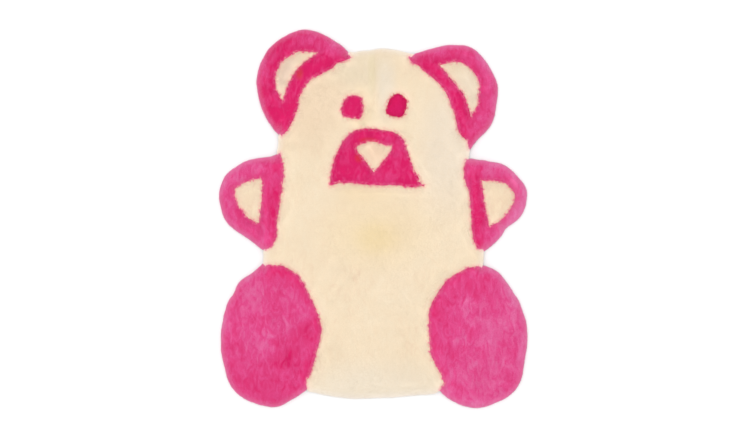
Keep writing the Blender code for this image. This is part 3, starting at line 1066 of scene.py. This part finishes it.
# %% Stand a lock on each root
def turn_of_lock(board, given):
    """How a lock is turned: along the wool's way, with some stray, and spun about itself."""
    stray = chance(board, (-1, -1, -1), (1, 1, 1), given["Seed"] + STRAY_DRAW, "FLOAT_VECTOR")
    way = kept(board, "lie", "FLOAT_VECTOR") + stray * given["Stray"]
    stand = board.add("FunctionNodeAlignRotationToVector", {"axis": "Z"}, {"Vector": way})
    angle = chance(board, 0.0, 2 * pi, given["Seed"] + SPIN_DRAW)
    spin = board.add("FunctionNodeAxisAngleToRotation", None,
                     {"Axis": (0, 0, 1), "Angle": angle})
    return board.add("FunctionNodeRotateRotation", {"rotation_space": "LOCAL"},
                     {"Rotation": stand, "Rotate By": spin})


def stand_locks(board, given, roots):
    """One of the locks on every root."""
    seed = given["Seed"]
    turned = turn_of_lock(board, given)
    picked = {"Collection": given["Locks"], "Separate Children": True,
              "Reset Children": True}
    return board.add("GeometryNodeInstanceOnPoints", None, {
        "Points": roots,
        "Instance": board.add("GeometryNodeCollectionInfo", None, picked),
        "Pick Instance": True,
        "Instance Index": chance(board, 0, len(LOCKS) - 1, seed + SHAPE_DRAW, "INT"),
        "Rotation": turned,
        "Scale": chance(board, given["Smallest"], given["Largest"], seed + SIZE_DRAW)})


def give_squares(board, locks):
    """Give each lock its own square of the map, and say how many rows of squares it has."""
    count = board.add("GeometryNodeAttributeDomainSize", {"component": "INSTANCES"},
                      {"Geometry": locks}, "Instance Count")
    rows = count.sum("CEIL", count.sum("SQRT", count))
    number = board.add("GeometryNodeInputIndex")
    row = number.sum("FLOOR", number / rows)
    square = board.add("ShaderNodeCombineXYZ", None, {"X": number % rows, "Y": row})
    return store(board, locks, "square", "FLOAT_VECTOR", "INSTANCE", square), rows


print("one of", len(LOCKS), "locks goes on each root")

# %% [markdown]
# ## The whole planting tree
#
# Two things are left once the locks are a mesh. The floor bends locks that point down, and
# beside a seam the tops of the hides do, so that none pokes through a hide.
#
# And the shading is softened. A lock lit only by the way its own three sides face would be half
# bright and half dark, like a blade of metal. In real wool, light spreads from hair to hair. So
# each lock is shaded mostly as the fleece round it faces, and a good part from above, more of it
# down in a seam, where the wool is lit only from there.

# %% Build the tree that plants the wool
SKY_SHARE = 0.60              # how far the light from above outweighs a lock's own side
SEAM_SHARE = 0.80             # and how much further it does so down in a seam
BESIDE_SEAM = (0.80, 0.87)    # locks this near a seam stay above the hides


def rest_on_floor(board, wool, floor, hide):
    """Locks that point down are bent by the floor, or beside a seam by the hides' tops."""
    place = board.add("GeometryNodeInputPosition")
    height = place.part("Z")
    lowest = floor + board.climb(kept(board, "seam", "FLOAT"), *BESIDE_SEAM) * hide
    height = height.sum("MAXIMUM", height, lowest)
    lifted = board.add("ShaderNodeCombineXYZ", None, {"Z": height})
    return board.add("GeometryNodeSetPosition", None,
                     {"Geometry": wool, "Position": place * (1.0, 1.0, 0.0) + lifted})


def soften(board, wool, softness):
    """Shade each lock partly as the fleece round it, because light spreads from hair to hair."""
    own = board.add("GeometryNodeInputNormal")
    above = board.add("ShaderNodeCombineXYZ", None,
                      {"Z": kept(board, "seam", "FLOAT") * SEAM_SHARE + SKY_SHARE})
    soft = own + (kept(board, "facing", "FLOAT_VECTOR") - own) * softness + above
    facing = board.add("ShaderNodeVectorMath", {"operation": "NORMALIZE"}, {0: soft})
    return board.add("GeometryNodeSetMeshNormal", {"mode": "FREE"},
                     {"Mesh": wool, "Custom Normal": facing})


def wool_tree():
    """The tree that plants locks of wool on a skin."""
    tree, board, given = new_tree("plant_wool", WOOL_INPUTS)
    place = board.add("GeometryNodeInputPosition")
    roots = push_at_seams(board, given, strew_roots(board, given, place), place)
    locks, rows = give_squares(board, stand_locks(board, given, roots))
    wool = board.add("GeometryNodeRealizeInstances", None, {"Geometry": locks})
    wool = rest_on_floor(board, wool, given["Floor"], given["Hide"])
    wool = soften(board, wool, given["Softness"])
    on_map = kept(board, "square", "FLOAT_VECTOR") + kept(board, "lock_uv", "FLOAT_VECTOR")
    wool = store(board, wool, "OFBake", "FLOAT2", "CORNER", on_map / rows)
    wool = board.add("GeometryNodeSetMaterial", None,
                     {"Geometry": wool, "Material": given["Wool"]})
    board.add("NodeGroupOutput", None, {"Made": wool})
    return tree


PLANT_WOOL = wool_tree()
print("a tree of", len(PLANT_WOOL.nodes), "nodes plants the wool")

# %% [markdown]
# ## Planting the wool
#
# The tree runs on each skin in turn, and what it grew is kept as a plain mesh. The body's wool
# is far more than any other panel's, so it is kept as three strips side by side. They are cut
# from the same planting, so no line shows between them.

# %% Plant wool on every panel
STRIP_EDGE = 100 * MM         # from the rug's middle to each side of the middle strip
BODY_STRIPS = {"body_wool_left": (WHOLE[0], -STRIP_EDGE),
               "body_wool_middle": (-STRIP_EDGE, STRIP_EDGE),
               "body_wool_right": (STRIP_EDGE, WHOLE[1])}
SEEDS_APART = 10              # between two panels, more than one panel's kinds of draw


def run_tree(name, carrier, tree, values):
    """Run a tree on a carrier and keep what it made as a plain mesh object."""
    modifier = carrier.modifiers.new(name, "NODES")
    modifier.node_group = tree
    for socket in tree.interface.items_tree:
        if socket.name in values:
            modifier[socket.identifier] = values[socket.name]
    carrier.update_tag()
    settled = carrier.evaluated_get(bpy.context.evaluated_depsgraph_get())
    mesh = bpy.data.meshes.new_from_object(settled)
    mesh.name = name
    carrier.modifiers.remove(modifier)
    made = bpy.data.objects.new(name, mesh)
    bpy.context.scene.collection.objects.link(made)
    return made


def plant(name, panel, strip):
    """The wool of one panel, or of one strip of it."""
    values = {"From x": strip[0], "To x": strip[1], "Locks": LOCK_BOX, "Seams": SEAM_LINES,
              "Rim": RIM_LINES, "Wool": WOOLS[SLOT_OF[panel]],
              "Seed": SEEDS_APART * sorted(PANELS).index(panel),
              "Proud": PROUD if "pink" in SLOT_OF[panel] else 0.0}
    wool = run_tree(name, SKINS[panel], PLANT_WOOL, values)
    for spare in ("square", "lie", "facing"):
        if spare in wool.data.attributes:
            wool.data.attributes.remove(wool.data.attributes[spare])
    return wool


PIECES = {name: [] for name in sorted(PANELS)}
for name in sorted(PANELS):
    strips = BODY_STRIPS if name == "body" else {name + "_wool": WHOLE}
    for piece, strip in strips.items():
        PIECES[name].append(plant(piece, name, strip))
        faces = len(PIECES[name][-1].data.polygons)
        print(piece, faces // (2 * SIDES), "locks")

# %% [markdown]
# ## Underwool
#
# Between the locks a sheepskin isn't hollow: shorter, finer wool fills it down to the hide. It
# shows only as the depth between two tips. It could be planted too, as a second coat of small
# locks, but so little of it shows that one closed body does. That is the panel's own shape, with
# the same laps over its seams and the same fluff round its rim as the skin of the locks. Its
# wool side is then let in by a millimetre and a half, and it stands on top of the hide.

# %% Lay the underwool
UNDERWOOL_DEPTH = 1.5 * MM


def underwool(name):
    """A panel's shape with its wool side let down, standing on the hide."""
    shape = joined_copy(name)
    _, walls, woolly = kinds_of_face(shape, name)
    lap_seams(name, shape, walls)
    even_out(shape, woolly)
    ways = {corner: wool_way(corner, woolly) for corner in shape.verts}
    for corner, way in ways.items():
        corner.co -= way * UNDERWOOL_DEPTH
        corner.co.z = max(corner.co.z, HIDE_TOP)
    for face in shape.faces:
        face.smooth = True
    take_dye(shape, name)
    made = plain_object(name + "_underwool", shape)
    made.data.materials.append(WOOLS[SLOT_OF[name]])
    return made


for name in sorted(PANELS):
    PIECES[name].append(underwool(name))
print("underwool of", sum(len(p[-1].data.polygons) for p in PIECES.values()), "faces")

# %% [markdown]
# ## The hide
#
# Below the wool is the sheep's skin, tanned to soft suede, about two millimetres thick. It is
# the only cloth-like sheet of the rug, and it is cut to the panel's flat outline. The panel's
# underside gives that outline, and the Solidify modifier gives it its thickness. Dye goes
# through the hide too, so a pink panel has a pink hide, duller than its wool.
#
# Suede is a nap of tiny fibres: matt, cloudy, and grained finely enough to catch light.

# %% Tan and cut the hides
HIDE_BOTTOM = 0.5 * MM
SUEDE_GRAIN = 1.1 * MM
SUEDE_GRAIN_HIGH = 0.3 * MM
SUEDE_GRAIN_SHARE = 0.3
SUEDE_CLOUD = 45 * MM
SUEDE_CLOUD_SHARE = 0.7
SUEDE_CLOUD_EDGE = (0.35, 0.65)     # between these, a dark cloud turns into a light one
SUEDE_ROUGH = 0.8
SUEDE_ROUGHER = 0.15          # and this much more on top of the grain
Suede = namedtuple("Suede", "light dark")
HIDE_COLOURS = {"cream_wool": Suede((0.80, 0.68, 0.52), (0.66, 0.53, 0.38)),
                "pink_wool": Suede((0.62, 0.12, 0.24), (0.48, 0.07, 0.16)),
                "deep_pink_wool": Suede((0.52, 0.06, 0.14), (0.40, 0.03, 0.09))}


def suede_material(name, suede):
    """Soft suede, cloudy in colour and finely grained."""
    material, board = new_material(name)
    place = board.add("ShaderNodeTexCoord", None, None, "Object")
    cloud = board.ease(board.cloud(place, SUEDE_CLOUD, detail=4.0), *SUEDE_CLOUD_EDGE)
    grain = board.cloud(place, SUEDE_GRAIN, detail=4.0)
    light = cloud * SUEDE_CLOUD_SHARE + grain * SUEDE_GRAIN_SHARE
    colour = board.blend(light, suede.dark, suede.light)
    height = {"Height": grain, "Distance": SUEDE_GRAIN_HIGH, "Strength": 0.5}
    normal = board.add("ShaderNodeBump", None, height)
    finish(board, {"Base Color": colour, "Roughness": SUEDE_ROUGH + grain * SUEDE_ROUGHER,
                   "Normal": normal, "Specular IOR Level": 0.2, "Sheen Weight": 0.2})
    return material


SUEDES = {slot: suede_material(slot.replace("wool", "suede"), suede)
          for slot, suede in HIDE_COLOURS.items()}


def cut_hide(name):
    """A panel's hide, cut to its underside and as thick as suede, and its flat area."""
    shape = joined_copy(name)
    below, _, _ = kinds_of_face(shape, name)
    area = sum(f.calc_area() for f in below)
    bmesh.ops.delete(shape, geom=[f for f in shape.faces if f not in below],
                     context="FACES")
    bmesh.ops.translate(shape, verts=shape.verts, vec=(0, 0, HIDE_BOTTOM))
    hide = plain_object(name + "_hide", shape)
    hide.data.materials.append(SUEDES[SLOT_OF[name]])
    thick = hide.modifiers.new("thickness", "SOLIDIFY")
    thick.thickness = HIDE_TOP - HIDE_BOTTOM
    thick.offset = -1
    return hide, area


HIDES = {name: cut_hide(name) for name in sorted(PANELS)}
print("hides of", round(sum(area for _, area in HIDES.values()), 3), "square metres")

# %% [markdown]
# ## The thread and one stitch
#
# Fur is sewn with strong waxed linen thread. Its plies could be modelled, or it could be one
# plain pale colour. A little cloudy colour and a low bump are enough for something less than a
# millimetre thick.
#
# One stitch is a short piece of thread. Where it goes into the hide it bends up and gets
# thinner, so that no cut end shows. It is drawn as five rings of six points from one end to the
# other, which is few enough to be repeated more than a thousand times.

# %% Spin the thread and shape a stitch
THREAD = 0.36 * MM            # half the thread's thickness
THREAD_SIDES = 6
THREAD_COLOUR = (0.80, 0.74, 0.64)
THREAD_DARK = (0.62, 0.55, 0.45)
THREAD_CLOUD = 1.2 * MM
THREAD_BUMP = 0.1 * MM
THREAD_ROUGH = 0.55
THREAD_ROUGHER = 0.2
STITCH_LONG = 5.2 * MM
Ring = namedtuple("Ring", "along rise swell")
STITCH_RINGS = [              # along in halves of a stitch, and rise in halves of a thread
    Ring(along=-1.0, rise=1.6, swell=0.5),
    Ring(along=-0.7, rise=0.3, swell=1.0),
    Ring(along=0.0, rise=0.0, swell=1.0),
    Ring(along=0.7, rise=0.3, swell=1.0),
    Ring(along=1.0, rise=1.6, swell=0.5),
]


def thread_material():
    """Waxed linen thread, a little cloudy in colour."""
    material, board = new_material("linen_thread")
    place = board.add("ShaderNodeTexCoord", None, None, "Object")
    cloud = board.cloud(place, THREAD_CLOUD)
    colour = board.blend(cloud, THREAD_DARK, THREAD_COLOUR)
    height = {"Height": cloud, "Distance": THREAD_BUMP, "Strength": 0.6}
    normal = board.add("ShaderNodeBump", None, height)
    finish(board, {"Base Color": colour, "Roughness": THREAD_ROUGH + cloud * THREAD_ROUGHER,
                   "Normal": normal})
    return material


def draw_ring(shape, ring):
    """The points of the thread's outline at one place along a stitch."""
    turn = 2 * pi / THREAD_SIDES
    wide = THREAD * ring.swell
    return [shape.verts.new((wide * cos(turn * i), ring.along * STITCH_LONG / 2,
                             ring.rise * THREAD + wide * sin(turn * i)))
            for i in range(THREAD_SIDES)]


def stitch_shape():
    """One stitch: a short thread that dives into the hide at both ends."""
    shape = bmesh.new()
    rings = [draw_ring(shape, ring) for ring in STITCH_RINGS]
    for one, two in zip(rings, rings[1:]):
        for i in range(THREAD_SIDES):
            shape.faces.new((one[i], two[i], two[i - 1], one[i - 1])).smooth = True
    shape.faces.new(rings[0])
    shape.faces.new(rings[-1][::-1])
    bmesh.ops.recalc_face_normals(shape, faces=shape.faces)
    return plain_object("stitch", shape)


STITCH = stitch_shape()
print("a stitch of", len(STITCH.data.polygons), "faces")

# %% [markdown]
# ## Sewing the panels together
#
# Fur is sewn from the hide side, edge to edge, with a stitch that goes over both edges. From
# above nothing of it shows. Below, it is a row of short slanting threads along every seam.
#
# The seam line already follows every seam, so Geometry Nodes turn it into curves, measure off
# the stitches along them, and lay one short thread across the seam at each.

# %% Sew along the seam line
STITCH_STEP = 3.6 * MM
STITCH_SLANT = 0.5            # in radians
STITCH_HEIGHT = HIDE_BOTTOM - 0.02 * MM     # the thread's middle lies at the hides' underside

STITCH_INPUTS = [
    Input("Seams", "NodeSocketGeometry"),
    Input("Step", "NodeSocketFloat", STITCH_STEP),
    Input("Slant", "NodeSocketFloat", STITCH_SLANT),
    Input("Height", "NodeSocketFloat", STITCH_HEIGHT),
    Input("Stitch", "NodeSocketObject"),
    Input("Thread", "NodeSocketMaterial"),
]


def turn_of_stitch(board, given):
    """How a stitch is turned: across the seam, and slanting."""
    along = board.add("GeometryNodeInputTangent")
    turned = board.add("FunctionNodeAlignRotationToVector", {"axis": "X", "pivot_axis": "Z"},
                       {"Vector": along})
    slant = board.add("FunctionNodeAxisAngleToRotation", None,
                      {"Axis": (0, 0, 1), "Angle": given["Slant"]})
    return board.add("FunctionNodeRotateRotation", {"rotation_space": "LOCAL"},
                     {"Rotation": turned, "Rotate By": slant})


def sewing_tree():
    """The tree that lays stitches along the seams."""
    tree, board, given = new_tree("sew_seams", STITCH_INPUTS)
    curves = board.add("GeometryNodeMeshToCurve", None, {"Mesh": given["Seams"]})
    points = board.add("GeometryNodeResampleCurve", {"mode": "LENGTH"},
                       {"Curve": curves, "Length": given["Step"]})
    turned = turn_of_stitch(board, given)
    lift = board.add("ShaderNodeCombineXYZ", None, {"Z": given["Height"]})
    points = board.add("GeometryNodeSetPosition", None, {"Geometry": points, "Offset": lift})
    one = board.add("GeometryNodeObjectInfo", None,
                    {"Object": given["Stitch"], "As Instance": True}, "Geometry")
    row = board.add("GeometryNodeInstanceOnPoints", None,
                    {"Points": points, "Instance": one, "Rotation": turned})
    row = board.add("GeometryNodeRealizeInstances", None, {"Geometry": row})
    row = board.add("GeometryNodeSetMaterial", None,
                    {"Geometry": row, "Material": given["Thread"]})
    board.add("NodeGroupOutput", None, {"Made": row})
    return tree


SEWING = run_tree("seam_stitches", SEAM_LINES, sewing_tree(),
                  {"Stitch": STITCH, "Thread": thread_material()})
print("sewn with", len(SEWING.data.polygons) // len(STITCH.data.polygons), "stitches")

# %% [markdown]
# ## Clearing up
#
# The skins, the lines and the single locks were only aids. They are taken out of the scene, so
# that what is left is the rug.

# %% Take the aids away
for aid in [*SKINS.values(), SEAM_LINES, RIM_LINES, STITCH, *LOCK_BOX.objects]:
    bpy.data.objects.remove(aid)
bpy.data.collections.remove(LOCK_BOX)

# %% [markdown]
# ## Putting the pieces on the rug's body
#
# Every piece rides on the rug's one body, and the panel's solid is hidden. A hide's width and
# length are those of the leather it is cut from, and the area is its own. They are printed with
# the height of the panel's solid in the CAD model.

# %% Put each piece on the body and print its sizes
def sizes_of(hide):
    """The hide's width and length."""
    across = [v.co.x for v in hide.data.vertices]
    along = [v.co.y for v in hide.data.vertices]
    return max(across) - min(across), max(along) - min(along)


def hand_over(name):
    hide, area = HIDES[name]
    for piece in [hide, *PIECES[name]]:
        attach(piece, RUG)
        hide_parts(name)
    low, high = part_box(name)
    width, length = sizes_of(hide)
    return width, length, area, (high - low).z


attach(SEWING, RUG)
for name in sorted(PANELS):
    print(name, *[round(number, 4) for number in hand_over(name)])

# %% [markdown]
# ## The end
#
# The finished rug has to be as big as the CAD model, with no more than a little wool beyond it.

# %% Finish
import json
